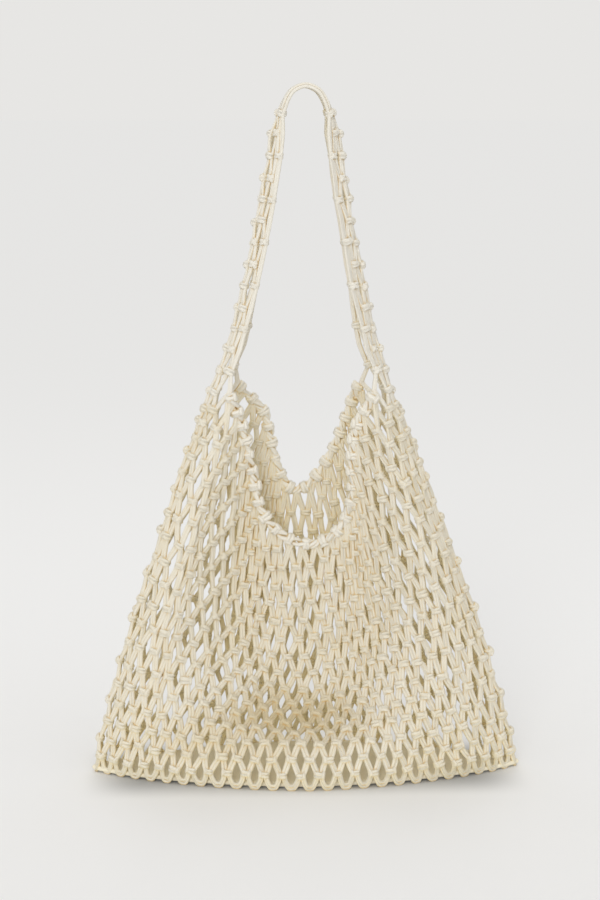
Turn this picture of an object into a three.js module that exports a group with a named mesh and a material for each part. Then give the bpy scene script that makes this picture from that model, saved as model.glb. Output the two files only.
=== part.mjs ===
// Shoulder bag of knotted cotton cord, shown hanging by its strap. Millimetres, +Z up, front towards -Y.
// The origin lies under the middle of the strap, where the bag hangs on a hook or a shoulder.
import * as THREE from "three";

// Clearance between neighbouring pieces, and between a rim and the net edge that it binds
const gap = 0.3;
const rimGap = 0.8;

// Base panel and the lowest edge of the net, a shape between a lens and an oval
const baseHalfWidth = 198;
const baseHalfDepth = 66;
const baseMiddle = 1.5;
const baseTaper = 1.6;
const baseFullness = 0.75;
const panelThickness = 3;

// Net wall: thickness over the knots, height of its lowest edge, knot columns across each half,
// the column where the mouth corner lies, and how far the sides swell between base and mouth
const wallThickness = 5;
const netBottom = -624;
const knotColumns = 28;
const cornerColumn = 2.4;
const sideSwell = 7;
const swellRise = 0.75;

// Facets of the net wall, and how much wider than two facets a gap in the net is cut
const sideSteps = 4;
const panelSteps = 32;
const heightSteps = 14;
const gapSpread = 0.35;

// Strap: how round its outer fold is, how much its edges rise, and its facets
const foldRoundness = 1.8;
const edgeRise = 0.12;
const strapStepsPerRow = 2;
const strapStepsAcross = 8;

// Rope binding of the mouth
const rimRadius = 3.5;
const rimSides = 10;
const rimSteps = 44;
const rimEnd = 0.02;

// A table with named columns: one object for each row.
function table(names, ...rows) {
  return rows.map((row) => Object.fromEntries(names.map((name, i) => [name, row[i]])));
}

// Sections of one half of the strap, from its top down to the mouth corner: half width and height of the
// outer fold, sideways lean, then how far the front and back edges lie in from the fold and out from it.
const strapSections = table(
  ["row", "half", "height", "middle", "frontIn", "frontOut", "backIn", "backOut"],
  [0, 0, 2.5, 0, 0, 22, 0, 22],
  [1, 10, -1, 0, 0, 22, 0, 22],
  [2, 16, -8, 0, 0.5, 22, 0.5, 22],
  [3, 22, -19, 0, 3, 21.5, 3, 21.5],
  [4, 27, -31, 0, 9, 20, 9, 20],
  [5, 30, -45, 0, 12, 18, 13, 18],
  [6, 33.5, -66, 0, 13, 17.5, 13, 17.5],
  [7, 42.5, -116, 0, 14, 17.5, 14, 17.5],
  [8, 53.5, -170, -1, 15, 18, 16, 18],
  [9, 66.5, -224, -2, 15, 21, 20, 21],
  [10, 76, -252, -3, 18, 25, 25, 26],
  [11, 86, -279, -4, 22, 30, 31, 32],
);

// The two halves of the net. The rim rows run from the left mouth corner to the right one. The dent rows
// say how far the net lies behind a straight stretch from base to mouth, along its fold lines.
const frontHalf = {
  facing: -1,
  rim: table(
    ["x", "y", "z"],
    [-57, -10, -312],
    [-49, 5, -350],
    [-37, 13, -393],
    [-18, 16, -413],
    [5, 17, -421],
    [30, 15, -409],
    [44, 9, -378],
    [44, -1, -344],
    [47, -13, -308],
  ),
  dents: table(
    ["up", "ridge", "hollowLeft", "centre", "hollowRight"],
    [0, 0, 0, 0, 0],
    [0.1, -2, -4, -6, -4],
    [0.18, -4, -1, -6, -2],
    [0.23, -6, 7, 20, 4],
    [0.28, -7, 17, 40, 10],
    [0.33, -8, 25, 49, 16],
    [0.42, -9, 35, 53, 25],
    [0.6, -8, 42, 48, 31],
    [0.8, -5, 28, 25, 18],
    [1, 0, 0, 0, 0],
  ),
};
const backHalf = {
  facing: 1,
  rim: table(
    ["x", "y", "z"],
    [-38, 38, -300],
    [-30, 43, -332],
    [-20, 47, -362],
    [-7, 49, -377],
    [10, 48, -366],
    [27, 44, -340],
    [40, 38, -308],
  ),
  dents: table(
    ["up", "ridge", "hollowLeft", "centre", "hollowRight"],
    [0, 0, 0, 0, 0],
    [0.18, 2, 2, 3, 2],
    [0.42, 4, 2, 2, 2],
    [0.6, 4, 0, 0, 0],
    [0.8, 2, 0, 0, 0],
    [1, 0, 0, 0, 0],
  ),
};

// How far both side lines of the net lie forward of the middle plane
const sideLine = table(["up", "depth"], [0, 0], [0.18, -3], [0.42, -8], [0.6, -9], [0.8, -6], [1, 0]);

// Knot columns of the fold lines that the dents are given for
const foldColumns = { hollowLeft: 8, centre: 14, hollowRight: 20 };

const cotton = { color: 0xe8dec3, roughness: 0.92, metalness: 0 };
const panelCloth = { color: 0xcfc09a, roughness: 0.95, metalness: 0 };

// One row of a table at any value of its key column, on a smooth curve through the rows.
function smoothRow(rows, key, at) {
  const last = rows.length - 1;
  let k = 0;
  while (k < last - 1 && at > rows[k + 1][key]) k += 1;
  const step = (i) => rows[i + 1][key] - rows[i][key];
  const slope = (i, name) => (rows[i + 1][name] - rows[i][name]) / step(i);
  const slopeAt = (i, name) => {
    if (i === 0) return slope(0, name);
    if (i === last) return slope(last - 1, name);
    return (slope(i - 1, name) * step(i) + slope(i, name) * step(i - 1)) / (step(i - 1) + step(i));
  };
  const t = (at - rows[k][key]) / step(k);
  const result = {};
  for (const name of Object.keys(rows[k])) {
    const start = rows[k][name] * (1 + 2 * t) + slopeAt(k, name) * step(k) * t;
    const end = rows[k + 1][name] * (3 - 2 * t) - slopeAt(k + 1, name) * step(k) * (1 - t);
    result[name] = start * (1 - t) ** 2 + end * t ** 2;
  }
  return result;
}

// Edge of the base from the left corner to the right one, along the front or the back.
class BaseEdge extends THREE.Curve {
  constructor(facing, margin = 0) {
    super();
    this.facing = facing;
    this.margin = margin;
  }

  getPoint(t, target = new THREE.Vector3()) {
    const share = -Math.cos(Math.PI * t);
    const width = baseHalfWidth + this.margin;
    const depth = (baseHalfDepth + this.margin) * (1 - Math.abs(share) ** baseTaper) ** baseFullness;
    return target.set(baseMiddle + width * share, this.facing * depth, netBottom);
  }
}

// Point of the strap's middle face: along runs from the left mouth corner (-1) over the top (0) to the
// right one (1), across from the front edge (-1) over the outer fold (0) to the back edge (1).
function strapPoint(along, across) {
  const section = smoothRow(strapSections, "row", Math.abs(along) * (strapSections.length - 1));
  const inset = across < 0 ? section.frontIn : section.backIn;
  const out = across < 0 ? section.frontOut : section.backOut;
  const turned = inset * Math.abs(across) ** foldRoundness;
  const x = section.middle + Math.sign(along) * (section.half - turned);
  return new THREE.Vector3(x, out * across, section.height + edgeRise * turned);
}

// Point of the net just under the strap's left (-1) or right (1) end.
function underStrap(side, across) {
  const point = strapPoint(side, across);
  point.z -= gap;
  return point;
}

// Point of a half's upper edge at a knot column: under the strap up to the mouth corners, and along the rim
// between them.
function upperEdge(half, column) {
  const fromSide = Math.min(column, knotColumns - column);
  if (fromSide < cornerColumn) {
    const side = column < cornerColumn ? -1 : 1;
    return underStrap(side, (half.facing * fromSide) / cornerColumn);
  }
  return half.rimLine.getPointAt((column - cornerColumn) / (knotColumns - 2 * cornerColumn));
}

// Point of the net's middle face at a knot column (0 at the left side line) and a share of its height.
function netPoint(half, column, up) {
  const low = half.baseLine.getPointAt(column / knotColumns);
  const point = low.lerp(upperEdge(half, column), up);
  const dents = smoothRow(half.dents, "up", up);
  const side = smoothRow(sideLine, "up", up).depth;
  const folds = [
    { column: 0, depth: side },
    { column: cornerColumn, depth: dents.ridge },
    { column: foldColumns.hollowLeft, depth: dents.hollowLeft },
    { column: foldColumns.centre, depth: dents.centre },
    { column: foldColumns.hollowRight, depth: dents.hollowRight },
    { column: knotColumns - cornerColumn, depth: dents.ridge },
    { column: knotColumns, depth: side },
  ];
  const outwards = (2 * column) / knotColumns - 1;
  point.x += sideSwell * Math.sin(Math.PI * up ** swellRise) * Math.sign(outwards) * outwards ** 2;
  point.y += smoothRow(folds, "column", column).depth + (half.facing * gap) / 2;
  return point;
}

// Unit normal of a surface, on the side from which first and second run anticlockwise.
function normalAt(pointAt, first, second, limits) {
  const nudge = 0.002;
  const span = (value, [low, high]) => {
    const reach = nudge * (high - low);
    return [Math.max(value - reach, low), Math.min(value + reach, high)];
  };
  const [a, b] = span(first, limits.first);
  const [c, d] = span(second, limits.second);
  const alongFirst = pointAt(b, second).sub(pointAt(a, second));
  const alongSecond = pointAt(first, d).sub(pointAt(first, c));
  return alongFirst.cross(alongSecond).normalize();
}

// Closed wall around a surface given by its point function, on a grid of first and second values. hasGap
// says at which grid points a diamond is cut through, and level turns the wall's edge flat at a grid point.
function wall(pointAt, firsts, seconds, hasGap, level) {
  const limits = { first: [firsts[0], firsts.at(-1)], second: [seconds[0], seconds.at(-1)] };
  const rowLength = firsts.length;
  const outer = [];
  const inner = [];
  const moved = (values, i, towards) => values[i] + gapSpread * (values[i] - values[i + towards]);
  for (let j = 0; j < seconds.length; j += 1) {
    for (let i = 0; i < rowLength; i += 1) {
      let first = firsts[i];
      let second = seconds[j];
      for (const towards of [-1, 1]) {
        if (hasGap(i + towards, j)) first = moved(firsts, i, towards);
        if (hasGap(i, j + towards)) second = moved(seconds, j, towards);
      }
      const middle = pointAt(first, second);
      const normal = level(i, j, normalAt(pointAt, first, second, limits)).normalize();
      outer.push(middle.clone().addScaledVector(normal, wallThickness / 2));
      inner.push(middle.clone().addScaledVector(normal, -wallThickness / 2));
    }
  }
  const below = outer.length;
  const triangles = [];
  const face = (a, b, c) => triangles.push([a, b, c], [c + below, b + below, a + below]);
  const closeEdge = (a, b) => triangles.push([b, a, a + below], [b, a + below, b + below]);
  const at = (i, j) => j * rowLength + i;
  for (let j = 0; j < seconds.length - 1; j += 1) {
    for (let i = 0; i < rowLength - 1; i += 1) {
      const ring = [[i, j], [i + 1, j], [i + 1, j + 1], [i, j + 1]];
      const missing = ring.findIndex(([p, q]) => hasGap(p, q));
      const corner = (k) => at(...ring[k % 4]);
      if (missing < 0) {
        face(corner(0), corner(1), corner(2));
        face(corner(0), corner(2), corner(3));
      } else {
        face(corner(missing + 1), corner(missing + 2), corner(missing + 3));
        closeEdge(corner(missing + 3), corner(missing + 1));
      }
    }
  }
  const top = seconds.length - 1;
  const end = rowLength - 1;
  for (let i = 0; i < end; i += 1) {
    closeEdge(at(i, 0), at(i + 1, 0));
    closeEdge(at(i + 1, top), at(i, top));
  }
  for (let j = 0; j < top; j += 1) {
    closeEdge(at(end, j), at(end, j + 1));
    closeEdge(at(0, j + 1), at(0, j));
  }
  const points = [...outer, ...inner];
  const positions = triangles.flat().flatMap((k) => points[k].toArray());
  const geometry = new THREE.BufferGeometry();
  geometry.setAttribute("position", new THREE.Float32BufferAttribute(positions, 3));
  geometry.computeVertexNormals();
  return geometry;
}

// Values spread evenly from start to end, both included.
function spread(start, end, steps) {
  return Array.from({ length: steps + 1 }, (_, i) => start + ((end - start) * i) / steps);
}

const noGap = () => false;

// One half of the net, with staggered diamond gaps between its knots.
function netGeometry(half) {
  const columns = [
    ...spread(0, cornerColumn, sideSteps),
    ...spread(cornerColumn, knotColumns - cornerColumn, panelSteps).slice(1, -1),
    ...spread(knotColumns - cornerColumn, knotColumns, sideSteps),
  ];
  const last = columns.length - 1;
  const hasGap = (i, j) => {
    const inside = i > 1 && i < last - 1 && j > 1 && j < heightSteps - 1 && j % 2 === 0;
    return inside && i % 4 === (j % 4 === 0 ? 0 : 2);
  };
  // The edges that meet the base panel and the strap's ends lie flat, and the side edges face each other.
  const level = (i, j, normal) => {
    const atStrap = j === heightSteps && (i <= sideSteps || i >= last - sideSteps);
    if (i === 0 || i === last) normal.y = 0;
    if (j === 0 || atStrap) normal.z = 0;
    return normal;
  };
  // The back half is laid out from right to left, so that both halves have their outer face outwards.
  const column = (value) => (half.facing < 0 ? value : knotColumns - value);
  const pointAt = (value, up) => netPoint(half, column(value), up);
  return wall(pointAt, columns, spread(0, 1, heightSteps), hasGap, level);
}

// The strap as one band of knotted cords, folded along its middle.
function strapGeometry() {
  const steps = 2 * strapStepsPerRow * (strapSections.length - 1);
  const level = (i, j, normal) => {
    if (i === 0 || i === steps) normal.z = 0;
    return normal;
  };
  return wall(strapPoint, spread(-1, 1, steps), spread(-1, 1, strapStepsAcross), noGap, level);
}

// A rope that follows the upper edge of one half of the net, just clear of it.
function rimGeometry(half) {
  const first = cornerColumn + rimEnd * (knotColumns - 2 * cornerColumn);
  const path = spread(first, knotColumns - first, rimSteps).map((column) => {
    const nudge = 0.05;
    const edge = netPoint(half, column, 1);
    const along = netPoint(half, column + nudge, 1).sub(netPoint(half, column - nudge, 1)).normalize();
    const upwards = edge.clone().sub(netPoint(half, column, 1 - nudge));
    upwards.addScaledVector(along, -upwards.dot(along)).normalize();
    return edge.addScaledVector(upwards, rimRadius + rimGap);
  });
  const section = new THREE.Shape().absarc(0, 0, rimRadius, 0, 2 * Math.PI, false);
  return new THREE.ExtrudeGeometry(section, {
    steps: rimSteps,
    curveSegments: rimSides / 2,
    extrudePath: new THREE.CatmullRomCurve3(path),
  });
}

// Flat panel under the lowest edge of the net.
function panelGeometry() {
  const margin = wallThickness / 2;
  const along = new BaseEdge(-1, margin).getPoints(panelSteps);
  const back = new BaseEdge(1, margin).getPoints(panelSteps).reverse().slice(1, -1);
  const outline = [...along, ...back].map(({ x, y }) => new THREE.Vector2(x, y));
  return new THREE.ExtrudeGeometry(new THREE.Shape(outline), { depth: panelThickness, bevelEnabled: false });
}

function piece(name, geometry, finish) {
  const mesh = new THREE.Mesh(geometry, new THREE.MeshStandardMaterial(finish));
  mesh.name = name;
  return mesh;
}

for (const half of [frontHalf, backHalf]) {
  const inner = half.rim.map(({ x, y, z }) => new THREE.Vector3(x, y, z));
  const corners = [-1, 1].map((side) => underStrap(side, half.facing));
  half.rimLine = new THREE.CatmullRomCurve3([corners[0], ...inner, corners[1]]);
  half.baseLine = new BaseEdge(half.facing);
}

const bag = new THREE.Group();
const basePanel = piece("base_panel", panelGeometry(), panelCloth);
basePanel.position.z = netBottom - gap - panelThickness;
bag.add(
  basePanel,
  piece("net_front", netGeometry(frontHalf), cotton),
  piece("net_back", netGeometry(backHalf), cotton),
  piece("rim_front", rimGeometry(frontHalf), cotton),
  piece("rim_back", rimGeometry(backHalf), cotton),
  piece("strap", strapGeometry(), cotton),
);

export default bag;
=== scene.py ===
import math
from collections import namedtuple

import bpy
import numpy as np
from mathutils import Matrix, Vector


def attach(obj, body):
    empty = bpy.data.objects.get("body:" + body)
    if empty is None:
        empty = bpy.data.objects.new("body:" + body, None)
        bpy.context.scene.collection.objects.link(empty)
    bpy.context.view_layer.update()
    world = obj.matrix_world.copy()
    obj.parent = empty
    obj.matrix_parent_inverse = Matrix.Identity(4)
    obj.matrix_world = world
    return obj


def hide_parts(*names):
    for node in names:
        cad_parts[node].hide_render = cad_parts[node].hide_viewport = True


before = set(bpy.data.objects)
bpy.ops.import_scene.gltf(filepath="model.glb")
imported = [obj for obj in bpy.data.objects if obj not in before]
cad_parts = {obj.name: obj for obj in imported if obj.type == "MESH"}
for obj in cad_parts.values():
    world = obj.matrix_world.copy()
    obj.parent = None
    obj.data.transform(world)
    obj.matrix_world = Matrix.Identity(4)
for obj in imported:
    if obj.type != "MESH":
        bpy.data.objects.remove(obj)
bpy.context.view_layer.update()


# Form of the bag
# The bag is one tube of knotted net that stands on an oval base, is gathered to two mouth corners and
# runs on as a folded strap. These tables give the middle face of that net in millimetres: the strap's
# sections, the mouth's two edges, and how far the slack front falls in on its way from base to mouth.
BASE_HALF_WIDTH, BASE_HALF_DEPTH, BASE_MIDDLE = 198, 66, 1.5
BASE_TAPER, BASE_FULLNESS = 1.6, 0.75
NET_BOTTOM = -624
SIDE_SWELL, SWELL_RISE = 7, 0.75
FOLD_ROUNDNESS, EDGE_RISE = 1.8, 0.12

# Columns that the tables count across each half, and the one at a mouth corner
FORM_COLUMNS, CORNER_COLUMN = 28, 2.4

# Half width, height, lean, front inset and reach, back inset and reach, from the top down to the mouth
STRAP_SECTIONS = np.array([
    (0, 2.5, 0, 0, 22, 0, 22),
    (10, -1, 0, 0, 22, 0, 22),
    (16, -8, 0, 0.5, 22, 0.5, 22),
    (22, -19, 0, 3, 21.5, 3, 21.5),
    (27, -31, 0, 9, 20, 9, 20),
    (30, -45, 0, 12, 18, 13, 18),
    (33.5, -66, 0, 13, 17.5, 13, 17.5),
    (42.5, -116, 0, 14, 17.5, 14, 17.5),
    (53.5, -170, -1, 15, 18, 16, 18),
    (66.5, -224, -2, 15, 21, 20, 21),
    (76, -252, -3, 18, 25, 25, 26),
    (86, -279, -4, 22, 30, 31, 32),
], float)

# Dents: share of the height, then depth at the ridges, left hollow, centre and right hollow
# Rows: column, then how many knot rows lie between the base and the upper edge there
FRONT = {
    "facing": -1,
    "rim": np.array([
        (-57, -10, -312), (-49, 5, -350), (-37, 13, -393), (-18, 16, -413), (5, 17, -421),
        (30, 15, -409), (44, 9, -378), (44, -1, -344), (47, -13, -308),
    ], float),
    "dents": np.array([
        (0, 0, 0, 0, 0), (0.1, -2, -4, -6, -4), (0.18, -4, -1, -6, -2), (0.23, -6, 7, 20, 4),
        (0.28, -7, 17, 40, 10), (0.33, -8, 25, 49, 16), (0.42, -9, 35, 53, 25), (0.6, -8, 42, 48, 31),
        (0.8, -5, 28, 25, 18), (1, 0, 0, 0, 0),
    ], float),
    "rows": np.array([
        (0, 19.5), (2.4, 19.5), (5, 18.9), (8.5, 17.8), (11, 16.6), (14, 15.8), (16.5, 15.8), (20, 16.8),
        (23, 18.3), (25.6, 19.5), (28, 19.5),
    ]),
}
BACK = {
    "facing": 1,
    "rim": np.array([
        (-38, 38, -300), (-30, 43, -332), (-20, 47, -362), (-7, 49, -377), (10, 48, -366),
        (27, 44, -340), (40, 38, -308),
    ], float),
    "dents": np.array([
        (0, 0, 0, 0, 0), (0.18, 2, 2, 3, 2), (0.42, 4, 2, 2, 2), (0.6, 4, 0, 0, 0),
        (0.8, 2, 0, 0, 0), (1, 0, 0, 0, 0),
    ], float),
    "rows": np.array([
        (0, 19.5), (2.4, 19.5), (8, 17.2), (14, 14), (20, 17.2), (25.6, 19.5), (28, 19.5),
    ]),
}
SIDE_LINE = np.array([(0, 0), (0.18, -3), (0.42, -8), (0.6, -9), (0.8, -6), (1, 0)], float)
FOLD_COLUMNS = np.array([0, CORNER_COLUMN, 8, 14, 20, FORM_COLUMNS - CORNER_COLUMN, FORM_COLUMNS])


def smooth(keys, rows, at):
    """Rows of a table on a smooth curve through them, read at any value of its key."""
    keys = np.asarray(keys, float)
    rows = np.asarray(rows, float).reshape(len(keys), -1)
    at = np.asarray(at, float)
    step = np.diff(keys)[:, None]
    slope = np.diff(rows, axis=0) / step
    inner = (slope[:-1] * step[1:] + slope[1:] * step[:-1]) / (step[:-1] + step[1:])
    turn = np.concatenate([slope[:1], inner, slope[-1:]])
    k = np.clip(np.searchsorted(keys, at, side="right") - 1, 0, len(step) - 1)
    h = step[k]
    t = (at - keys[k])[..., None] / h
    start = rows[k] * (1 + 2 * t) + turn[k] * h * t
    end = rows[k + 1] * (3 - 2 * t) - turn[k + 1] * h * (1 - t)
    return start * (1 - t) ** 2 + end * t ** 2


def read(table, at):
    """Values of a table whose first number in each row is the key."""
    return smooth(table[:, 0], table[:, 1:], at)


def length_to(line):
    """Length along a line of points, up to each of them."""
    return np.concatenate([[0], np.cumsum(np.linalg.norm(np.diff(line, axis=0), axis=1))])


def at_shares(line, shares):
    """Points at given shares of the length of a line of points."""
    length = length_to(line)
    wanted = np.asarray(shares, float) * length[-1]
    return np.stack([np.interp(wanted, length, line[:, k]) for k in range(3)], -1)


def smooth_line(points, steps=400):
    """A smooth line through a few points."""
    length = length_to(points)
    return smooth(length, points, np.linspace(0, length[-1], steps))


def base_edge(share, facing, steps=600):
    """Edge of the base from the left corner to the right one."""
    across = -np.cos(np.linspace(0, math.pi, steps))
    depth = BASE_HALF_DEPTH * (1 - np.abs(across) ** BASE_TAPER) ** BASE_FULLNESS
    x = BASE_MIDDLE + BASE_HALF_WIDTH * across
    line = np.stack([x, facing * depth, np.full_like(across, NET_BOTTOM)], -1)
    return at_shares(line, share)


def strap_point(along, across):
    """Point of the strap: along it from the left mouth corner at -1 to the right one at 1, and across it
    from the front edge at -1 to the back edge at 1."""
    along, across = np.broadcast_arrays(np.asarray(along, float), np.asarray(across, float))
    last = len(STRAP_SECTIONS) - 1
    left = STRAP_SECTIONS[:0:-1] * (-1, 1, 1, 1, 1, 1, 1)
    section = smooth(np.arange(-last, last + 1), np.vstack([left, STRAP_SECTIONS]), along * last)
    out, height, lean, front_in, front_out, back_in, back_out = np.moveaxis(section, -1, 0)
    turned = np.where(across < 0, front_in, back_in) * np.abs(across) ** FOLD_ROUNDNESS
    reach = np.where(across < 0, front_out, back_out)
    x = lean + out - np.sign(along) * turned
    return np.stack([x, reach * across, height + EDGE_RISE * turned], -1)


def upper_edge(half, columns):
    """Upper edge of one half: under the strap up to the mouth corners, along the rim between them."""
    corners = [strap_point(side, half["facing"]) for side in (-1, 1)]
    rim = smooth_line(np.vstack([corners[0], half["rim"], corners[1]]))
    points = at_shares(rim, (columns - CORNER_COLUMN) / (FORM_COLUMNS - 2 * CORNER_COLUMN))
    to_side = np.minimum(columns, FORM_COLUMNS - columns)
    under_strap = to_side < CORNER_COLUMN
    side = np.where(columns < FORM_COLUMNS / 2, -1, 1)
    points[under_strap] = strap_point(side, half["facing"] * to_side / CORNER_COLUMN)[under_strap]
    return points


GRID_PER_COLUMN, GRID_UP = 16, 240


def net_grid(half):
    """Points of one half, by the form's column and by share of the length up that column."""
    columns = np.linspace(0, FORM_COLUMNS, FORM_COLUMNS * GRID_PER_COLUMN + 1)
    ups = np.linspace(0, 1, GRID_UP + 1)
    low = base_edge(columns / FORM_COLUMNS, half["facing"])
    grid = low[:, None] + (upper_edge(half, columns) - low)[:, None] * ups[None, :, None]
    side = read(SIDE_LINE, ups)[:, 0]
    ridge, hollow_left, centre, hollow_right = read(half["dents"], ups).T
    folds = np.stack([side, ridge, hollow_left, centre, hollow_right, ridge, side])
    grid[..., 1] += smooth(FOLD_COLUMNS, folds, columns)
    outwards = 2 * columns / FORM_COLUMNS - 1
    swell = SIDE_SWELL * np.sin(math.pi * ups ** SWELL_RISE)
    grid[..., 0] += np.sign(outwards)[:, None] * outwards[:, None] ** 2 * swell
    return np.stack([at_shares(line, ups) for line in grid])


for half in (FRONT, BACK):
    half["grid"] = net_grid(half)

# Knot columns of the two halves, and tables from a knot column to the form's column where it lies. The back
# has fewer, which lie wider apart behind the middle.
FRONT_COLUMNS, BACK_COLUMNS = 26, 20
ALL_COLUMNS = FRONT_COLUMNS + BACK_COLUMNS
FRONT_SPREAD = np.array([(0, 0), (2.4, 2.4), (13, 14), (23.6, 25.6), (26, 28)])
BACK_SPREAD = np.array([(0, 0), (2.4, 2.4), (5, 6.7), (10, 14), (15, 21.3), (17.6, 25.6), (20, 28)])

# The slack front has drifted sideways: the form's column at the base, then halfway up and at the rim
FRONT_DRIFT = np.array([
    (0, 0, 0), (2.4, 2.3, 2.4), (4.2, 4, 4.8), (6.4, 6.9, 8), (8.5, 9.6, 10.2), (10.7, 11.8, 12.1),
    (12.9, 13.9, 13.8), (15.1, 15.9, 15.5), (17.3, 17.8, 17.2), (19.5, 19.8, 19), (21.6, 21.9, 21.1),
    (23.8, 24.3, 23.6), (25.6, 26.1, 25.6), (28, 28, 28),
])
DRIFT_HEIGHTS = (0, 0.1, 0.5, 1)

# The low rows lie closer together. The front's rows rise towards its sides and sag between them, by column.
FIRST_ROW_LOWER = 0.25
LOW_ROWS_CLOSER = 0.16
ROW_TILT = np.array([(0, 0.4), (4, 0.1), (9, -0.3), (14, -0.2), (19, -0.4), (23, -0.1), (28, 0.6)])


def half_at(around):
    """The half, and the form's column in it, at a knot column counted from the left side line over the
    front and on over the back."""
    around = around % ALL_COLUMNS
    if around <= FRONT_COLUMNS:
        return FRONT, float(read(FRONT_SPREAD, around)[0])
    return BACK, float(read(BACK_SPREAD, ALL_COLUMNS - around)[0])


def from_side(around):
    """The nearer side line, left or right, and the knot columns from it towards the front."""
    around = around % ALL_COLUMNS
    if abs(around - FRONT_COLUMNS) < min(around, ALL_COLUMNS - around):
        return 1, FRONT_COLUMNS - around
    return -1, around if around <= FRONT_COLUMNS else around - ALL_COLUMNS


def row_count(half, column):
    """Knot rows between the base and the upper edge at a column of the form."""
    return read(half["rows"], column)[..., 0]


def net_point(around, row):
    """Point of the net at a knot column and a row counted up from the base."""
    half, column = half_at(around)
    share = np.clip((row - FIRST_ROW_LOWER) / (row_count(half, column) - FIRST_ROW_LOWER), 0, 1)
    share -= LOW_ROWS_CLOSER * share * (1 - share) ** 2
    if half is FRONT:
        share += share ** 2 * (1 - share) * float(read(ROW_TILT, column)[0])
        drifted = read(FRONT_DRIFT, column)
        column = float(smooth(DRIFT_HEIGHTS, (column, column, *drifted), share)[0])
    grid = half["grid"]
    i, j = column * GRID_PER_COLUMN, share * GRID_UP
    i0, j0 = min(int(i), len(grid) - 2), min(int(j), GRID_UP - 1)
    s, t = i - i0, j - j0
    low = grid[i0, j0] * (1 - s) + grid[i0 + 1, j0] * s
    high = grid[i0, j0 + 1] * (1 - s) + grid[i0 + 1, j0 + 1] * s
    return low * (1 - t) + high * t


# The strap's fold line by its length, so that its knot rows have an even pitch
STRAP_ALONG = np.linspace(0, 1, 300)
STRAP_LENGTH = length_to(strap_point(STRAP_ALONG, 0.0))
STRAP_FIRST_ROW = FRONT["rows"][0, 1]
STRAP_PITCH = 19.6
STRAP_HALF_COLUMNS = 2.06
STRAP_WIDENING_ROWS = 3
ACROSS_STEPS = np.linspace(0, 1, 60)


def strap_place(side, towards_front, row):
    """Point of the strap above a side line: columns towards the front, and rows counted on from the net's."""
    above = row - STRAP_FIRST_ROW
    along = np.interp(STRAP_LENGTH[-1] - above * STRAP_PITCH, STRAP_LENGTH, STRAP_ALONG) * side
    facing = -1 if towards_front > 0 else 1
    length = length_to(strap_point(along, facing * ACROSS_STEPS))
    even = np.interp(abs(towards_front) / STRAP_HALF_COLUMNS * length[-1], length, ACROSS_STEPS)
    share = np.clip(above / STRAP_WIDENING_ROWS, 0, 1)
    widening = share * share * (3 - 2 * share)
    across = abs(towards_front) / CORNER_COLUMN * (1 - widening) + even * widening
    return strap_point(along, facing * across)


def place(around, row):
    """Point of the net or strap at a knot column and a row counted up from the base."""
    side, towards_front = from_side(around)
    if row > STRAP_FIRST_ROW and abs(towards_front) <= CORNER_COLUMN:
        return strap_place(side, towards_front, row)
    return net_point(around, row)


# A place for a knot, its directions along the row, up the column and outwards, and how open the net is there,
# from 0 to 1 between two spacings of the columns in millimetres
Knot = namedtuple("Knot", "at along up out open")
CLOSED_SPACING, OPEN_SPACING = 8, 14
NUDGE = 0.25


def knot_at(around, row):
    """Even place of a knot, with its directions read from the net on both sides of it."""
    along = place(around + NUDGE, row) - place(around - NUDGE, row)
    up = place(around, row + NUDGE) - place(around, row - NUDGE)
    up /= np.linalg.norm(up)
    along -= up * (along @ up)
    width = np.linalg.norm(along)
    along /= width
    spacing = width / (2 * NUDGE)
    is_open = float(np.clip((spacing - CLOSED_SPACING) / (OPEN_SPACING - CLOSED_SPACING), 0, 1))
    return Knot(place(around, row), along, up, np.cross(along, up), is_open)


# Cotton cord
# Undyed braided cotton cord, matt and a little fuzzy, nominally 3 mm thick and plumper where it lies slack.
# The whole bag is knotted from it. Its tubes carry how far along and around the cord each point lies.
MM = 0.001
CORD_RADIUS = 1.8 * MM
CORD_SIDES = 8
CORD_LIGHT, CORD_DEEP = (0.84, 0.80, 0.70, 1), (0.79, 0.70, 0.505, 1)
# Painted highlight: the same cord's tones made lighter, for the strap and the rims
HIGHLIT_LIGHT, HIGHLIT_DEEP = (0.88, 0.85, 0.77, 1), (0.82, 0.765, 0.65, 1)
CORD_ROUGHNESS, CORD_GLOSS, CORD_SHEEN = 0.9, 0.2, 0.1

# Two sets of plies wound against each other, in relief and with painted shade in their grooves, with fuzz and
# with soft patches
BRAID_PITCH = 2.6 * MM
BRAID_PLIES = 6
BRAID_GROOVE_SHADE = 0.45
BRAID_DEPTH, BRAID_STRENGTH = 0.35 * MM, 0.6
FUZZ_SCALE, FUZZ_DETAIL = 1600, 3
PATCH_SCALE, PATCH_DETAIL = 55, 2

# Painted shade: inside the bag the cord is drawn yellower, as light bounced between cords would make it, and
# deeper in the creases between cords: tint, reach in which other cords shut off the light, and the openness
# at which the tint is full and at which it ends
INSIDE_SHADE = (1.0, 0.865, 0.51, 1), 160 * MM, 0.05, 0.42
CREASE_SHADE = (0.82, 0.61, 0.29, 1), 4.5 * MM, 0.15, 0.75

# Painted shade: the cord is drawn darkest deep down, where the slack front drops behind the ledge above the
# base
LEDGE_SHADE_TINT = (0.58, 0.455, 0.225, 1)
LEDGE_SHADE_AT, LEDGE_SHADE_REACH = (-0.03, -0.012, -0.586), (0.13, 0.06, 0.044)
LEDGE_SHADE_CORE, LEDGE_SHADE_STRENGTH = 0.8, 0.85


def add_node(tree, kind, inputs=(), **settings):
    """A node with its settings, and with values or links for its inputs by name or number."""
    node = tree.nodes.new(kind)
    for name, value in settings.items():
        setattr(node, name, value)
    for key, value in dict(inputs).items():
        if isinstance(value, bpy.types.NodeSocket):
            tree.links.new(value, node.inputs[key])
        else:
            node.inputs[key].default_value = value
    return node


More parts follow.
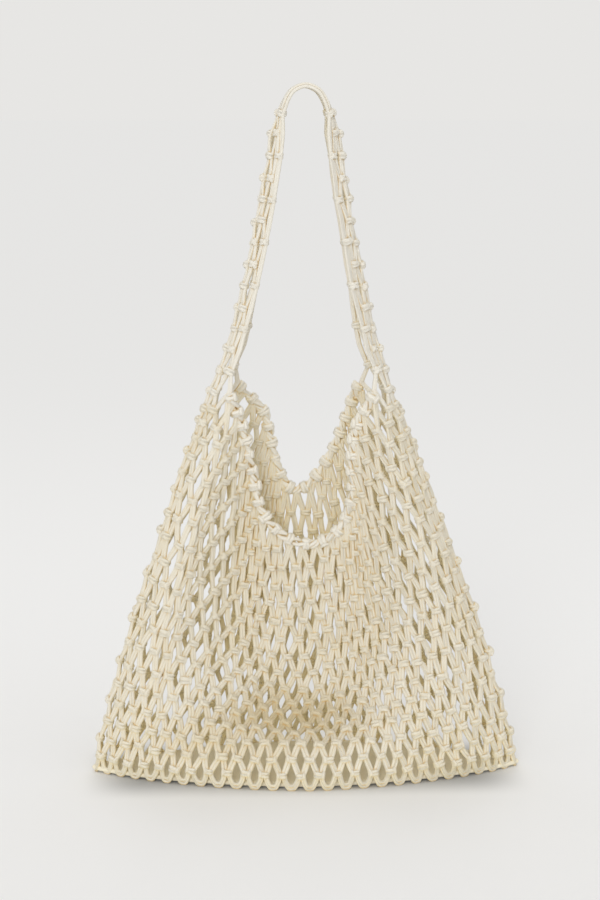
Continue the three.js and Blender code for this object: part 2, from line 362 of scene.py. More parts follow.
def calculated(tree, operation, *values, **settings):
    """Result of a calculation on values or links."""
    node = add_node(tree, "ShaderNodeMath", enumerate(values), operation=operation, **settings)
    return node.outputs[0]


def noise(tree, place_on, scale, detail):
    """Soft random values over a piece."""
    node = add_node(tree, "ShaderNodeTexNoise", {"Vector": place_on, "Scale": scale, "Detail": detail})
    return node.outputs["Fac"]


def blended(tree, share, first, second):
    """Colour between two colours or links, by a share of the second."""
    node = add_node(tree, "ShaderNodeMix", {0: share, 6: first, 7: second}, data_type="RGBA")
    return node.outputs[2]


def new_material(name, roughness, gloss):
    """A material with its node tree and its shader."""
    material = bpy.data.materials.new(name)
    material.use_nodes = True
    shader = material.node_tree.nodes["Principled BSDF"]
    shader.inputs["Roughness"].default_value = roughness
    shader.inputs["Specular IOR Level"].default_value = gloss
    return material, material.node_tree, shader


def cotton_material(name, light, deep):
    """Braided cotton between a light and a deep tone by soft patches and by painted shade in its ply grooves,
    with painted shade inside the bag, in the creases and behind the ledge above the base.
    """
    material, tree, shader = new_material(name, CORD_ROUGHNESS, CORD_GLOSS)
    shader.inputs["Sheen Weight"].default_value = CORD_SHEEN
    along = add_node(tree, "ShaderNodeAttribute", attribute_name="along").outputs["Fac"]
    around = add_node(tree, "ShaderNodeAttribute", attribute_name="around").outputs["Fac"]
    turns = calculated(tree, "MULTIPLY", along, 2 * math.pi / BRAID_PITCH)
    plies = calculated(tree, "MULTIPLY", around, 2 * math.pi * BRAID_PLIES)
    waves = []
    for winding in ("ADD", "SUBTRACT"):
        waves.append(calculated(tree, "SINE", calculated(tree, winding, turns, plies)))
    braid = calculated(tree, "MAXIMUM", *waves)
    place_on = add_node(tree, "ShaderNodeTexCoord").outputs["Object"]
    relief = calculated(tree, "ADD", braid, noise(tree, place_on, FUZZ_SCALE, FUZZ_DETAIL))
    bump = add_node(tree, "ShaderNodeBump", {
        "Height": relief, "Strength": BRAID_STRENGTH, "Distance": BRAID_DEPTH})
    tree.links.new(bump.outputs["Normal"], shader.inputs["Normal"])

    # Painted shade: the cord is drawn deeper in tone in the grooves between its plies, added to its random
    # soft patches
    tone = add_node(tree, "ShaderNodeMapRange", {
        "Value": braid, "From Min": -1, "From Max": 1, "To Min": -BRAID_GROOVE_SHADE, "To Max": BRAID_GROOVE_SHADE})
    patch = noise(tree, place_on, PATCH_SCALE, PATCH_DETAIL)
    tone_and_groove_shade = calculated(tree, "ADD", patch, tone.outputs[0], use_clamp=True)
    colour = blended(tree, tone_and_groove_shade, deep, light)
    # Painted shade in a soft patch round one place behind the ledge above the base
    from_ledge_shade = add_node(tree, "ShaderNodeMapping", {
        "Vector": place_on, "Location": LEDGE_SHADE_AT, "Scale": LEDGE_SHADE_REACH}, vector_type="TEXTURE")
    ledge_shade_nearness = add_node(tree, "ShaderNodeTexGradient", {
        "Vector": from_ledge_shade.outputs[0]}, gradient_type="SPHERICAL")
    ledge_shade_share = add_node(tree, "ShaderNodeMapRange", {
        "Value": ledge_shade_nearness.outputs["Fac"], "From Max": LEDGE_SHADE_CORE, "To Max": LEDGE_SHADE_STRENGTH})
    colour = blended(tree, ledge_shade_share.outputs[0], colour, LEDGE_SHADE_TINT)
    # Painted shade: where other cords lie near, the colour turns towards the inside and crease shade tints
    for shade_tint, reach, full, ended in (INSIDE_SHADE, CREASE_SHADE):
        openness = add_node(tree, "ShaderNodeAmbientOcclusion", {"Distance": reach}, samples=4)
        unshaded_share = add_node(tree, "ShaderNodeMapRange", {
            "Value": openness.outputs["AO"], "From Min": full, "From Max": ended})
        colour = blended(tree, unshaded_share.outputs[0], shade_tint, colour)
    tree.links.new(colour, shader.inputs["Base Color"])
    return material


# The net's cotton, and a lighter copy of it for the strap and the rims, a painted highlight where they catch
# more light
cotton = cotton_material("cotton_cord", CORD_LIGHT, CORD_DEEP)
highlit_cotton = cotton_material("highlit_cotton_cord", HIGHLIT_LIGHT, HIGHLIT_DEEP)


def new_tree(name, inputs):
    """A Geometry Nodes tree with named inputs, its first node and its output node."""
    tree = bpy.data.node_groups.new(name, "GeometryNodeTree")
    for socket, kind in inputs.items():
        tree.interface.new_socket(socket, in_out="INPUT", socket_type=kind)
    tree.interface.new_socket("Geometry", in_out="OUTPUT", socket_type="NodeSocketGeometry")
    return tree, add_node(tree, "NodeGroupInput"), add_node(tree, "NodeGroupOutput")


def end_tree(tree, geometry, material, result):
    """The last nodes of a tree, which leave a plain mesh with its material."""
    real = add_node(tree, "GeometryNodeRealizeInstances", {"Geometry": geometry})
    coloured = add_node(tree, "GeometryNodeSetMaterial", {
        "Geometry": real.outputs[0], "Material": material})
    tree.links.new(coloured.outputs[0], result.inputs[0])


def cord_tree():
    """Tubes of cord along the edges of a mesh, with a relative thickness at each point."""
    tree, given, result = new_tree("cord_along_paths", {
        "Paths": "NodeSocketGeometry",
        "Cord radius": "NodeSocketFloat",
        "Sides": "NodeSocketInt",
        "Cotton": "NodeSocketMaterial",
    })
    thickness = add_node(tree, "GeometryNodeInputNamedAttribute", {"Name": "thickness"}, data_type="FLOAT")
    curve = add_node(tree, "GeometryNodeMeshToCurve", {"Mesh": given.outputs["Paths"]})
    curve = add_node(tree, "GeometryNodeSetCurveRadius", {
        "Curve": curve.outputs[0], "Radius": thickness.outputs[0]})
    along = add_node(tree, "GeometryNodeCaptureAttribute", {"Geometry": curve.outputs[0]})
    along.capture_items.new("FLOAT", "Along")
    along_path = add_node(tree, "GeometryNodeSplineParameter")
    tree.links.new(along_path.outputs["Length"], along.inputs["Along"])
    profile = add_node(tree, "GeometryNodeCurvePrimitiveCircle", {
        "Resolution": given.outputs["Sides"], "Radius": given.outputs["Cord radius"]})
    around = add_node(tree, "GeometryNodeCaptureAttribute", {"Geometry": profile.outputs["Curve"]})
    around.capture_items.new("FLOAT", "Around")
    around_cord = add_node(tree, "GeometryNodeSplineParameter")
    tree.links.new(around_cord.outputs["Factor"], around.inputs["Around"])
    tube = add_node(tree, "GeometryNodeCurveToMesh", {
        "Curve": along.outputs["Geometry"], "Profile Curve": around.outputs["Geometry"], "Fill Caps": True})
    geometry = tube.outputs[0]
    for name, socket in (("along", along.outputs["Along"]), ("around", around.outputs["Around"])):
        stored = add_node(tree, "GeometryNodeStoreNamedAttribute", {
            "Geometry": geometry, "Name": name, "Value": socket}, data_type="FLOAT", domain="POINT")
        geometry = stored.outputs[0]
    smoothed = add_node(tree, "GeometryNodeSetShadeSmooth", {"Geometry": geometry})
    end_tree(tree, smoothed.outputs[0], given.outputs["Cotton"], result)
    return tree


def knot_tree():
    """A knot on each point of a mesh, turned and sized by the point's own attributes."""
    tree, given, result = new_tree("knots_on_points", {
        "Points": "NodeSocketGeometry",
        "Knot": "NodeSocketObject",
        "Cotton": "NodeSocketMaterial",
    })
    turn = add_node(tree, "GeometryNodeInputNamedAttribute", {"Name": "turn"}, data_type="FLOAT_VECTOR")
    size = add_node(tree, "GeometryNodeInputNamedAttribute", {"Name": "size"}, data_type="FLOAT_VECTOR")
    knot = add_node(tree, "GeometryNodeObjectInfo", {"Object": given.outputs["Knot"]})
    placed = add_node(tree, "GeometryNodeInstanceOnPoints", {
        "Points": given.outputs["Points"], "Instance": knot.outputs["Geometry"],
        "Rotation": turn.outputs[0], "Scale": size.outputs[0]})
    end_tree(tree, placed.outputs[0], given.outputs["Cotton"], result)
    return tree


CORDS, KNOTS = cord_tree(), knot_tree()


def grown(name, mesh, tree, values):
    """The plain mesh object that a tree grows on a mesh, with values for the tree's named inputs."""
    seed = bpy.data.objects.new(name + "_seed", mesh)
    bpy.context.scene.collection.objects.link(seed)
    modifier = seed.modifiers.new("grow", "NODES")
    modifier.node_group = tree
    for socket in tree.interface.items_tree:
        if socket.in_out == "INPUT" and socket.name in values:
            modifier[socket.identifier] = values[socket.name]
    graph = bpy.context.evaluated_depsgraph_get()
    result = bpy.data.objects.new(name, bpy.data.meshes.new_from_object(seed.evaluated_get(graph)))
    result.data.name = name
    bpy.context.scene.collection.objects.link(result)
    bpy.data.objects.remove(seed)
    bpy.data.meshes.remove(mesh)
    return result


def lay_cords(name, paths, radius=CORD_RADIUS, sides=CORD_SIDES, closed=False, material=cotton):
    """Cords along paths of points in millimetres, each path with its own relative thickness."""
    points, edges, thickness = [], [], []
    for path, thick in paths:
        first = len(points)
        points.extend(np.asarray(path) * MM)
        thickness.extend([thick] * len(path))
        edges.extend((k, k + 1) for k in range(first, len(points) - 1))
        if closed:
            edges.append((len(points) - 1, first))
    mesh = bpy.data.meshes.new(name + "_paths")
    mesh.from_pydata(points, edges, [])
    mesh.attributes.new("thickness", "FLOAT", "POINT").data.foreach_set("value", thickness)
    return grown(name, mesh, CORDS, {"Cord radius": radius, "Sides": sides, "Cotton": material})


# Square knot
# Each knot is tied from four cords. Two run straight through, and the two outer ones are wrapped around them
# in two turns, so its front shows two short bars, and a bump at one end where one cord loops over the other.
KNOT_HALF_WIDTH, KNOT_HALF_DEPTH = 3.5, 2.4
KNOT_ROUNDNESS = 0.8
KNOT_SIDES = 6
BAR_RISE, BAR_SLANT, BAR_THICKNESS = 1.1, 0.35, 1.15
BAR_POINTS = 12
BUMP_HALF_HEIGHT, BUMP_THICKNESS = 2.3, 0.92
BUMP_INSET, BUMP_INWARDS = 0.2, 0.9
BUMP_OUT, BUMP_BULGE = 0.7, 2.2
BUMP_POINTS = 6


def wrap_path(height, slant):
    """One turn around the two straight cords, slanting one way in front and the other way behind."""
    turn = np.linspace(0, 2 * math.pi, BAR_POINTS, endpoint=False)
    x = KNOT_HALF_WIDTH * np.sign(np.cos(turn)) * np.abs(np.cos(turn)) ** KNOT_ROUNDNESS
    z = KNOT_HALF_DEPTH * np.sign(np.sin(turn)) * np.abs(np.sin(turn)) ** KNOT_ROUNDNESS
    return np.stack([x, height + slant * x / KNOT_HALF_WIDTH * np.sign(np.sin(turn)), z], -1)


def bump_path():
    """The short loop that lies over the ends of both bars."""
    rise = np.linspace(-1, 1, BUMP_POINTS)
    bulge = np.cos(rise * math.pi / 2)
    x = -KNOT_HALF_WIDTH + BUMP_INSET + BUMP_INWARDS * bulge
    return np.stack([x, BUMP_HALF_HEIGHT * rise, BUMP_OUT + BUMP_BULGE * bulge], -1)


bars = [(wrap_path(way * BAR_RISE, way * BAR_SLANT), BAR_THICKNESS) for way in (1, -1)]
square_knot = lay_cords("square_knot", bars, sides=KNOT_SIDES, closed=True)
bump = lay_cords("bump", [(bump_path(), BUMP_THICKNESS)], sides=KNOT_SIDES)
with bpy.context.temp_override(active_object=square_knot, selected_editable_objects=[square_knot, bump]):
    bpy.ops.object.join()

chance = np.random.default_rng(11)
SIZE_WOBBLE = 0.06
CLOSED_WIDTH = 0.8


def tie_knots(name, knots, scale=1, material=cotton):
    """Square knots, some tied to the left and some to the right, narrower where the net is drawn together."""
    mesh = bpy.data.meshes.new(name + "_points")
    mesh.from_pydata([knot.at * MM for knot in knots], [], [])
    turns, sizes = [], []
    for knot in knots:
        hand = chance.choice((-1, 1))
        turns.append(Matrix(np.array([hand * knot.along, hand * knot.up, knot.out]).T).to_euler())
        size = scale * (1 + SIZE_WOBBLE * chance.normal())
        sizes.append((size * (CLOSED_WIDTH + (1 - CLOSED_WIDTH) * knot.open), size, size))
    for attribute, values in (("turn", turns), ("size", sizes)):
        stored = mesh.attributes.new(attribute, "FLOAT_VECTOR", "POINT")
        stored.data.foreach_set("vector", np.array(values).ravel())
    return grown(name, mesh, KNOTS, {"Knot": square_knot, "Cotton": material})


# Knotted net
# Rows of square knots, each row shifted by half a column. From every knot two pairs of cords run down to the
# two knots below it. The lowest pairs turn round the edge of the base panel, the highest end in the rims.
NET_KNOT_SIZE = {"net_front": 1.07, "net_back": 1.0}
RIM_CLEARANCE = 0.62
STRAP_KNOT_COLUMNS = 2
STRAP_TOP_ROW = 33
PLACE_WOBBLE = np.array([0.7, 0.7, 0.6])
TURN_WOBBLE = 0.09


def top_row(around):
    """Rows up to the net's upper edge at a knot column."""
    return row_count(*half_at(around))


def columns_from_side(around):
    """Knot columns from the nearer side line."""
    return abs(from_side(around)[1])


def tied_at(around, row):
    """A knot moved and turned a little from its even place, as hand-tied ones are."""
    knot = knot_at(around, row)
    move = chance.normal(size=3) * PLACE_WOBBLE @ np.array([knot.along, knot.up, knot.out])
    turn = chance.normal() * TURN_WOBBLE
    along = knot.along * math.cos(turn) + knot.up * math.sin(turn)
    return Knot(knot.at + move, along, np.cross(knot.out, along), knot.out, knot.open)


# Knots by twice their column and by row, as odd rows lie on half columns. The strap's go on above the net.
net_knots, strap_knots = {}, {}
for row in range(1, STRAP_TOP_ROW + 1):
    for double in range(row % 2, 2 * ALL_COLUMNS, 2):
        around = double / 2
        under_strap = columns_from_side(around) < STRAP_KNOT_COLUMNS
        if row <= top_row(around) - RIM_CLEARANCE or (row <= STRAP_FIRST_ROW and under_strap):
            net_knots[double, row] = tied_at(around, row)
        elif row > STRAP_FIRST_ROW and under_strap:
            strap_knots[double, row] = tied_at(around, row)
all_knots = net_knots | strap_knots

# A knot's four cords side by side, in widths of their spacing, the inner two set back behind the wraps
LEFT_PAIR, RIGHT_PAIR = (-1.5, -0.5), (0.5, 1.5)
CORD_SPACING = 1.8
INNER_CORD_OUT, OUTER_CORD_OUT = -0.6, 0.1
STRAND_POINTS = 7
STRAND_SWING = 0.28
THICKNESS_WOBBLE = 0.05

# Halfway, a pair's cords bow apart in the slack front and together in the stretched back, by millimetres
PAIR_SPREAD = {"net_front": 0.4, "net_back": -0.2}
CLOSED_STACK = 0.7
BEND_WOBBLE = 0.6


def cord_in(knot, share):
    """Middle of one of a knot's four cords."""
    out = INNER_CORD_OUT if abs(share) < 1 else OUTER_CORD_OUT
    return knot.at + knot.along * share * CORD_SPACING + knot.out * out


def strand(start, start_way, end, end_way, swing=STRAND_SWING):
    """A cord between two places, leaving and arriving in given directions."""
    t = np.linspace(0, 1, STRAND_POINTS)[:, None]
    reach = swing * np.linalg.norm(end - start)
    return ((1 + 2 * t) * (1 - t) ** 2 * start + t * (1 - t) ** 2 * reach * start_way
            + t * t * (3 - 2 * t) * end + t * t * (t - 1) * reach * end_way)


def thickness():
    """Relative thickness of one cord, a little different from the next one's."""
    return 1 + THICKNESS_WOBBLE * chance.normal()


def pair_between(upper, lower, upper_pair, lower_pair, spread):
    """The two cords from one knot down to the next: spread side by side where the net is open, and half
    stacked where it is closed."""
    out = upper.out + lower.out
    out /= np.linalg.norm(out)
    side = np.cross(out, lower.at - upper.at)
    side /= np.linalg.norm(side)
    halfway = np.sin(np.linspace(0, math.pi, STRAND_POINTS))[:, None]
    is_open = (upper.open + lower.open) / 2
    apart = side * spread * is_open + out * CLOSED_STACK * (1 - is_open)
    bend = (side * chance.normal() + out * chance.normal()) * BEND_WOBBLE
    paths = []
    for a, b, turn in zip(upper_pair, lower_pair, (-1, 1)):
        path = strand(cord_in(upper, a), -upper.up, cord_in(lower, b), -lower.up)
        paths.append((path + halfway * (turn * apart + bend), thickness()))
    return paths


def piece_of(double):
    """The net half that a column belongs to, and the side of it."""
    if double > 2 * FRONT_COLUMNS:
        return "net_back", "right" if double < 2 * FRONT_COLUMNS + BACK_COLUMNS else "left"
    return "net_front", "left" if double < FRONT_COLUMNS else "right"


strands = {"strap": []}
for half in ("net_front", "net_back"):
    for side in ("left", "right"):
        strands[half, side] = []

for (double, row), knot in all_knots.items():
    for step, upper_pair, lower_pair in ((-1, LEFT_PAIR, RIGHT_PAIR), (1, RIGHT_PAIR, LEFT_PAIR)):
        below = ((double + step) % (2 * ALL_COLUMNS), row - 1)
        if below not in all_knots:
            continue
        piece, spread = "strap", 0
        if (double, row) in net_knots:
            piece = piece_of(double if double % 2 else below[0])
            spread = PAIR_SPREAD[piece[0]]
        strands[piece] += pair_between(knot, all_knots[below], upper_pair, lower_pair, spread)

# Highest pairs, which end in the rim's rope where their slant meets the upper edge
RIM_PAIR = (-0.8, 0.8)
RIM_RISE, RIM_BELOW = 7.5, 0.26
FIRST_REACH, LEAST_REACH, MOST_REACH = 0.6, 0.3, 1.4
REACH_ROUNDS = 6
for (double, row), knot in net_knots.items():
    around = double / 2
    for step, pair in ((-1, LEFT_PAIR), (1, RIGHT_PAIR)):
        above = ((double + step) % (2 * ALL_COLUMNS), row + 1)
        if above in all_knots or columns_from_side(above[0] / 2) <= STRAP_KNOT_COLUMNS:
            continue
        reach = FIRST_REACH
        for _ in range(REACH_ROUNDS):
            rows_left = top_row(around + step / 2 * reach) - row
            reach = float(np.clip(rows_left, LEAST_REACH, MOST_REACH))
        edge = knot_at(around + step / 2 * reach, row + reach - RIM_BELOW)
        for a, b in zip(pair, RIM_PAIR):
            end = edge.at + edge.up * RIM_RISE + edge.along * b * CORD_SPACING
            path = strand(end, -edge.up, cord_in(knot, a), -knot.up)
            strands[piece_of(double)].append((path, thickness()))

# Lowest pairs, in loops around the edge of the base
LOOP_ROW = 0.3
LOOP_DROPS, LOOP_TUCK = (3.0, -0.2), 1.5
LOOP_TURN, LOOP_SWING = 1.6, 0.5
for double in range(0, 2 * ALL_COLUMNS, 2):
    left = net_knots[(double - 1) % (2 * ALL_COLUMNS), 1]
    right = net_knots[double + 1, 1]
    edge = knot_at(double / 2, LOOP_ROW)
    for share, drop in zip(RIGHT_PAIR, LOOP_DROPS):
        bottom = place(double / 2, 0) - np.array([0, 0, drop]) - edge.out * LOOP_TUCK
        turn = edge.along * LOOP_TURN
        down = strand(cord_in(left, share), -left.up, bottom - turn, edge.along, LOOP_SWING)
        rising = strand(bottom + turn, edge.along, cord_in(right, -share), right.up, LOOP_SWING)
        strands[piece_of(double)].append((np.vstack([down, rising]), thickness()))


def finish_piece(piece, node):
    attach(piece, "root")
    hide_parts(node)


for half in ("net_front", "net_back"):
    for side in ("left", "right"):
        cords = lay_cords(half + "_cords_" + side, strands[half, side])
        finish_piece(cords, half)
    tied = [knot for (double, row), knot in net_knots.items() if piece_of(double)[0] == half]
    finish_piece(tie_knots(half + "_knots", tied, NET_KNOT_SIZE[half]), half)


# Strap
# One band of sixteen cords, knotted on from the net's sides in rows of four and three knots. Its edge cords
# run straight past the rows of three. Over the top, where it hangs, the cords lie together without knots.
STRAP_CORD_RADIUS = 1.62 * MM
STRAP_COLUMNS = (-1.5, -0.5, 0.5, 1.5)
OUTER_COLUMN = 1.5
EDGE_COLUMN, CORNER_EDGE_COLUMN = 1.78, 2.25


def has_edge_cords(around, row):
    """Whether edge cords run up from a knot: an outer one in a row of four, with another such row above."""
    in_row_of_four = row % 2 == 1 and STRAP_FIRST_ROW - 1 <= row <= STRAP_TOP_ROW - 2
    return in_row_of_four and columns_from_side(around) == OUTER_COLUMN


for (double, row), knot in all_knots.items():
    if not has_edge_cords(double / 2, row):
        continue
    side, towards_front = from_side(double / 2)
    side_line = FRONT_COLUMNS if side > 0 else 0
    outwards = -side * np.sign(towards_front)
    upper = all_knots[double, row + 2]
    edge_column = CORNER_EDGE_COLUMN if row < STRAP_FIRST_ROW else EDGE_COLUMN
    passing = knot_at(side_line + outwards * edge_column, row + 1)
    for share in RIGHT_PAIR:
        halfway = passing.at + passing.along * outwards * (share - RIGHT_PAIR[1]) * CORD_SPACING
        high = strand(cord_in(upper, outwards * share), -upper.up, halfway, -passing.up)
        low = strand(halfway, -passing.up, cord_in(knot, outwards * share), -knot.up)
        strands["strap"].append((np.vstack([high, low[1:]]), thickness()))

# The cords over the top, from the last knots of one side to those of the other, in two layers
ARCH_START, ARCH_STEPS = 0.3, 11
ARCH_SPREAD = 0.245
ARCH_STACK = 0.9
arch_end = STRAP_FIRST_ROW + STRAP_LENGTH[-1] / STRAP_PITCH
arch_rows = np.linspace(STRAP_TOP_ROW + ARCH_START, arch_end, ARCH_STEPS)
for column in STRAP_COLUMNS:
    left = all_knots[int(2 * column) % (2 * ALL_COLUMNS), STRAP_TOP_ROW]
    right = all_knots[int(2 * (FRONT_COLUMNS - column)), STRAP_TOP_ROW]
    for layer, share in enumerate(LEFT_PAIR + RIGHT_PAIR):
        rise = np.array([strap_place(-1, column + share * ARCH_SPREAD, row) for row in arch_rows])
        fall = np.array([strap_place(1, column + share * ARCH_SPREAD, row) for row in arch_rows[::-1]])
        arch = np.vstack([rise, fall[1:]])
        along = np.gradient(arch, axis=0)
        lift = np.cross(along, (0, 1, 0))
        lift /= -np.linalg.norm(lift, axis=1)[:, None]
        arch += lift * (ARCH_STACK if layer % 2 else -ARCH_STACK)
        path = np.vstack([cord_in(left, share)[None], arch, cord_in(right, -share)[None]])
        strands["strap"].append((path, thickness()))

strap_cords = lay_cords("strap_cords", strands["strap"], STRAP_CORD_RADIUS, material=highlit_cotton)
finish_piece(strap_cords, "strap")
tied = tie_knots("strap_knots", list(strap_knots.values()), material=highlit_cotton)
finish_piece(tied, "strap")


# Rims
# Each edge of the mouth is bound with a rope of four thick cords, twisted in two pairs, that the net's
# highest cords end in. It starts and ends in the strap's edges, and knots hitch it at even places.
ROPE_LAY, ROPE_RADIUS, ROPE_STEP = 26, 2.1, 2.2
ROPE_THICKNESS = 1.42
PAIR_PHASES = (0, 0.85, math.pi, math.pi + 0.85)
ROPE_LOOSENESS, LOOSE_LENGTH, LEAST_BENDS = 0.7, 12, 4
ROPE_FRONT = np.array([0.15, 1.0, 0.1])
ROPE_RISE, RIM_POINTS, GRID_STEPS_BELOW = 4.0, 160, 3
HITCH_PITCH, HITCH_SIZE = 15, 1.25


def rope_paths(line):
    """Four cords twisted around a line of points."""
    length = length_to(line)[-1]
    count = int(length / ROPE_STEP)
    bends = max(int(length / LOOSE_LENGTH), LEAST_BENDS)
    shares = np.linspace(0, 1, count)
    middle = at_shares(line, shares)
    along = np.gradient(middle, axis=0)
    along /= np.linalg.norm(along, axis=1)[:, None]
    side = np.cross(along, ROPE_FRONT)
    side /= np.linalg.norm(side, axis=1)[:, None]
    front = np.cross(side, along)
    turn = shares * length / ROPE_LAY * 2 * math.pi
    for phase in PAIR_PHASES:
        angle = (turn + phase)[:, None]
        loose = chance.normal(size=(bends, 3)) * ROPE_LOOSENESS
        loose = smooth(np.linspace(0, 1, bends), loose, shares)
        yield middle + loose + ROPE_RADIUS * (side * np.cos(angle) + front * np.sin(angle))


def hitches_along(line, facing):
    """Places for knots across a line of points, at an even pitch, their bars facing out of the bag."""
    length = np.linalg.norm(np.diff(line, axis=0), axis=1).sum()
    places = at_shares(line, np.linspace(0, 1, int(length / HITCH_PITCH)))
    for at, along in zip(places, np.gradient(places, axis=0)):
        along = along / np.linalg.norm(along)
        out = np.array([0.0, facing, 0.0])
        out -= along * (along @ out)
        out /= np.linalg.norm(out)
        yield Knot(at, np.cross(along, out), along, out, 1)


rim_columns = np.linspace(CORNER_COLUMN, FORM_COLUMNS - CORNER_COLUMN, RIM_POINTS)
rim_steps = [int(round(column * GRID_PER_COLUMN)) for column in rim_columns]
for name, half in (("rim_front", FRONT), ("rim_back", BACK)):
    line = half["grid"][rim_steps, GRID_UP]
    below = half["grid"][rim_steps, GRID_UP - GRID_STEPS_BELOW]
    up = (line - below) / np.linalg.norm(line - below, axis=1)[:, None]
    line += up * ROPE_RISE
    twisted = [(path, ROPE_THICKNESS) for path in rope_paths(line)]
    finish_piece(lay_cords(name + "_rope", twisted, material=highlit_cotton), name)
    hitches = list(hitches_along(line, half["facing"]))
    finish_piece(tie_knots(name + "_hitches", hitches, HITCH_SIZE, highlit_cotton), name)

bpy.data.objects.remove(square_knot)


# Base panel
# A stiff oval board covered in plain cotton cloth, its edge rounded over. It lies inside the lowest loops of
# the net and carries what is put into the bag.
PANEL_COLOUR, PANEL_SHADE = (0.91, 0.845, 0.665, 1), 0.86
PANEL_ROUGHNESS, PANEL_GLOSS = 0.95, 0.15
PANEL_TOP, PANEL_BOTTOM = -622.5, -627.0
PANEL_FRONT_IN, PANEL_BACK_IN, PANEL_END = 6, 1, 2.5
PANEL_POINTS, EDGE_STEPS = 61, 6
PANEL_RINGS, RING_PITCH = 5, 12
THREAD_SCALE, THREAD_UNEVENNESS = 160, 0.6
WEAVE_DEPTH, WEAVE_STRENGTH = 0.15 * MM, 0.4
CLOTH_PATCH_SCALE, CLOTH_PATCH_DETAIL = 30, 3


def panel_outline(inset):
    """Points round the panel, a distance in from its edge."""
    across = -np.cos(np.linspace(0, math.pi, PANEL_POINTS))
    depth = (1 - np.abs(across) ** BASE_TAPER) ** BASE_FULLNESS
    x = BASE_MIDDLE + (BASE_HALF_WIDTH + PANEL_END - inset) * across
    front = np.stack([x, -depth * (BASE_HALF_DEPTH - PANEL_FRONT_IN - inset)], -1)
    back = np.stack([x, depth * (BASE_HALF_DEPTH - PANEL_BACK_IN - inset)], -1)[::-1]
    return np.vstack([front, back[1:-1]])


def panel_mesh():
    """The board in rings, from the middle of its underside round its edge to the middle of its top."""
    middle = (PANEL_TOP + PANEL_BOTTOM) / 2
    radius = (PANEL_TOP - PANEL_BOTTOM) / 2
    rings = [(radius + RING_PITCH * k, -radius) for k in range(PANEL_RINGS, 0, -1)]
    for turn in np.linspace(-math.pi / 2, math.pi / 2, EDGE_STEPS + 1):
        rings.append((radius * (1 - math.cos(turn)), radius * math.sin(turn)))
    rings += [(radius + RING_PITCH * k, radius) for k in range(1, PANEL_RINGS + 1)]
    points, faces = [], []
    count = len(panel_outline(0))
    for inset, height in rings:
        points.extend((x * MM, y * MM, (middle + height) * MM) for x, y in panel_outline(inset))
    for ring in range(len(rings) - 1):
        for k in range(count):
            a, b = ring * count + k, ring * count + (k + 1) % count
            faces.append((a, b, b + count, a + count))
    faces.append(tuple(range(count))[::-1])
    faces.append(tuple(range((len(rings) - 1) * count, len(rings) * count)))
    mesh = bpy.data.meshes.new("base_panel_board")
    mesh.from_pydata(points, [], faces)
    mesh.shade_smooth()
    return mesh


def panel_material():
    """Plain woven cotton, with its threads in relief and soft patches in its tone."""
    material, tree, shader = new_material("panel_cloth", PANEL_ROUGHNESS, PANEL_GLOSS)
    place_on = add_node(tree, "ShaderNodeTexCoord").outputs["Object"]
    threads = []
    for direction in ("X", "Y"):
        wave = add_node(tree, "ShaderNodeTexWave", {
            "Vector": place_on, "Scale": THREAD_SCALE, "Distortion": THREAD_UNEVENNESS, "Detail": 1},
            bands_direction=direction)
        threads.append(wave.outputs["Fac"])
    weave = calculated(tree, "MAXIMUM", *threads)
    bump = add_node(tree, "ShaderNodeBump", {
        "Height": weave, "Strength": WEAVE_STRENGTH, "Distance": WEAVE_DEPTH})
    tree.links.new(bump.outputs["Normal"], shader.inputs["Normal"])
    patch = noise(tree, place_on, CLOTH_PATCH_SCALE, CLOTH_PATCH_DETAIL)
    shade = tuple(PANEL_SHADE * c for c in PANEL_COLOUR[:3]) + (1,)
    tree.links.new(blended(tree, patch, shade, PANEL_COLOUR), shader.inputs["Base Color"])
    return material


board = bpy.data.objects.new("base_panel_board", panel_mesh())
bpy.context.scene.collection.objects.link(board)
board.data.materials.append(panel_material())
finish_piece(board, "base_panel")


# Floor and light
# A wide sheet of pale paper in a bright, even room, with a soft shadow painted on it under the bag's base.
# Broad daylight comes from the front and a little from the left. One soft lamp hangs above and behind.
FLOOR_HEIGHT, FLOOR_REACH = -0.6285, 60
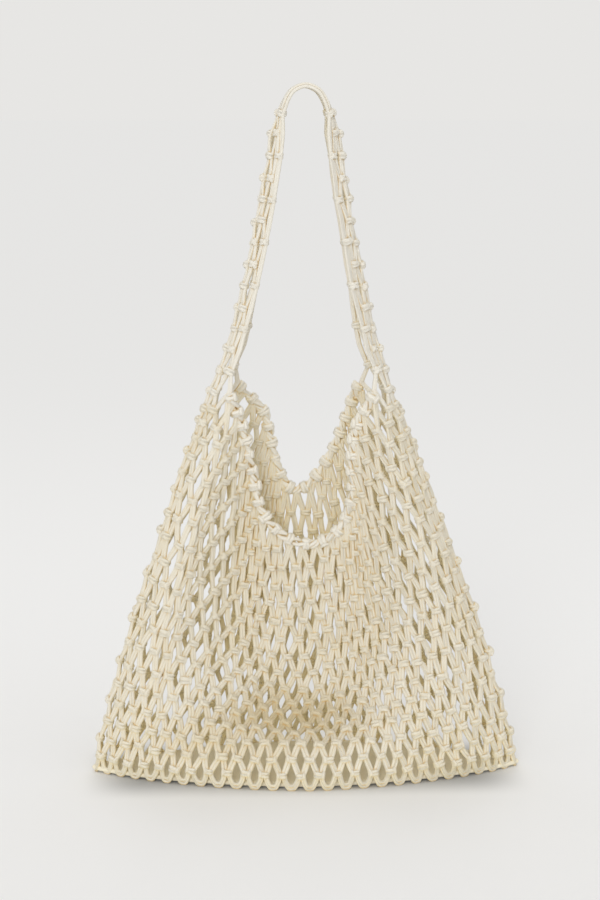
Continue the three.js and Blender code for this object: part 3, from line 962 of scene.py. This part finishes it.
# Painted shadow: the paper is drawn darker in a soft box under the base, full within the first number on each
# axis and gone at the second
PAPER, PAINTED_SHADOW_PAPER = (0.88, 0.882, 0.884, 1), (0.45, 0.455, 0.46, 1)
PAINTED_SHADOW_X, PAINTED_SHADOW_Y = (0.15, 0.21), (0.03, 0.085)
corners = ((-1, -1), (1, -1), (1, 1), (-1, 1))
floor_mesh = bpy.data.meshes.new("floor")
floor_points = [(x * FLOOR_REACH, y * FLOOR_REACH, FLOOR_HEIGHT) for x, y in corners]
floor_mesh.from_pydata(floor_points, [], [(0, 1, 2, 3)])
floor = bpy.data.objects.new("floor", floor_mesh)
bpy.context.scene.collection.objects.link(floor)
paper, paper_tree, paper_shader = new_material("pale_paper", 1, 0)
on_paper = add_node(paper_tree, "ShaderNodeTexCoord").outputs["Object"]
shares = []
for axis, (full, ended) in zip("XY", (PAINTED_SHADOW_X, PAINTED_SHADOW_Y)):
    across = add_node(paper_tree, "ShaderNodeSeparateXYZ", {0: on_paper}).outputs[axis]
    share = add_node(paper_tree, "ShaderNodeMapRange", {
        "Value": calculated(paper_tree, "ABSOLUTE", across),
        "From Min": full, "From Max": ended, "To Min": 1, "To Max": 0}, interpolation_type="SMOOTHSTEP")
    shares.append(share.outputs[0])
# Painted shadow, where the spans across and in depth overlap
shade = calculated(paper_tree, "MULTIPLY", *shares)
paper_tree.links.new(blended(paper_tree, shade, PAPER, PAINTED_SHADOW_PAPER), paper_shader.inputs["Base Color"])
floor_mesh.materials.append(paper)

ROOM_COLOUR, ROOM_LIGHT = (1, 0.99, 0.97, 1), 0.8
world = bpy.data.worlds.new("bright_room")
world.use_nodes = True
room = world.node_tree.nodes["Background"]
room.inputs["Color"].default_value = ROOM_COLOUR
room.inputs["Strength"].default_value = ROOM_LIGHT
bpy.context.scene.world = world
bpy.context.scene.view_settings.view_transform = "Standard"


def hang_lamp(name, data, place_at, aim):
    """A lamp at a place, turned towards another."""
    lamp = bpy.data.objects.new(name, data)
    lamp.location = place_at
    lamp.rotation_euler = (Vector(aim) - Vector(place_at)).to_track_quat("-Z", "Y").to_euler()
    bpy.context.scene.collection.objects.link(lamp)


daylight = bpy.data.lights.new("daylight", "SUN")
daylight.energy = 1.05
daylight.angle = math.radians(25)
hang_lamp("daylight", daylight, (-0.2, -1.0, 0.32), (0, 0, 0))
top_light = bpy.data.lights.new("top_light", "AREA")
top_light.energy = 2.5
top_light.size = 0.6
hang_lamp("top_light", top_light, (0, 0.75, 1.25), (0, 0, -0.5))


# Camera
# Level with the top of the strap, a little to the left of the bag, looking slightly down.
camera_data = bpy.data.cameras.new("camera")
camera_data.sensor_fit = "VERTICAL"
camera_data.sensor_height = 36
camera_data.lens = 80
camera = bpy.data.objects.new("camera", camera_data)
camera.location = (-0.0817, -1.7981, -0.010)
camera.rotation_euler = (math.radians(80.06), 0, math.radians(-2.457))
bpy.context.scene.collection.objects.link(camera)
bpy.context.scene.camera = camera
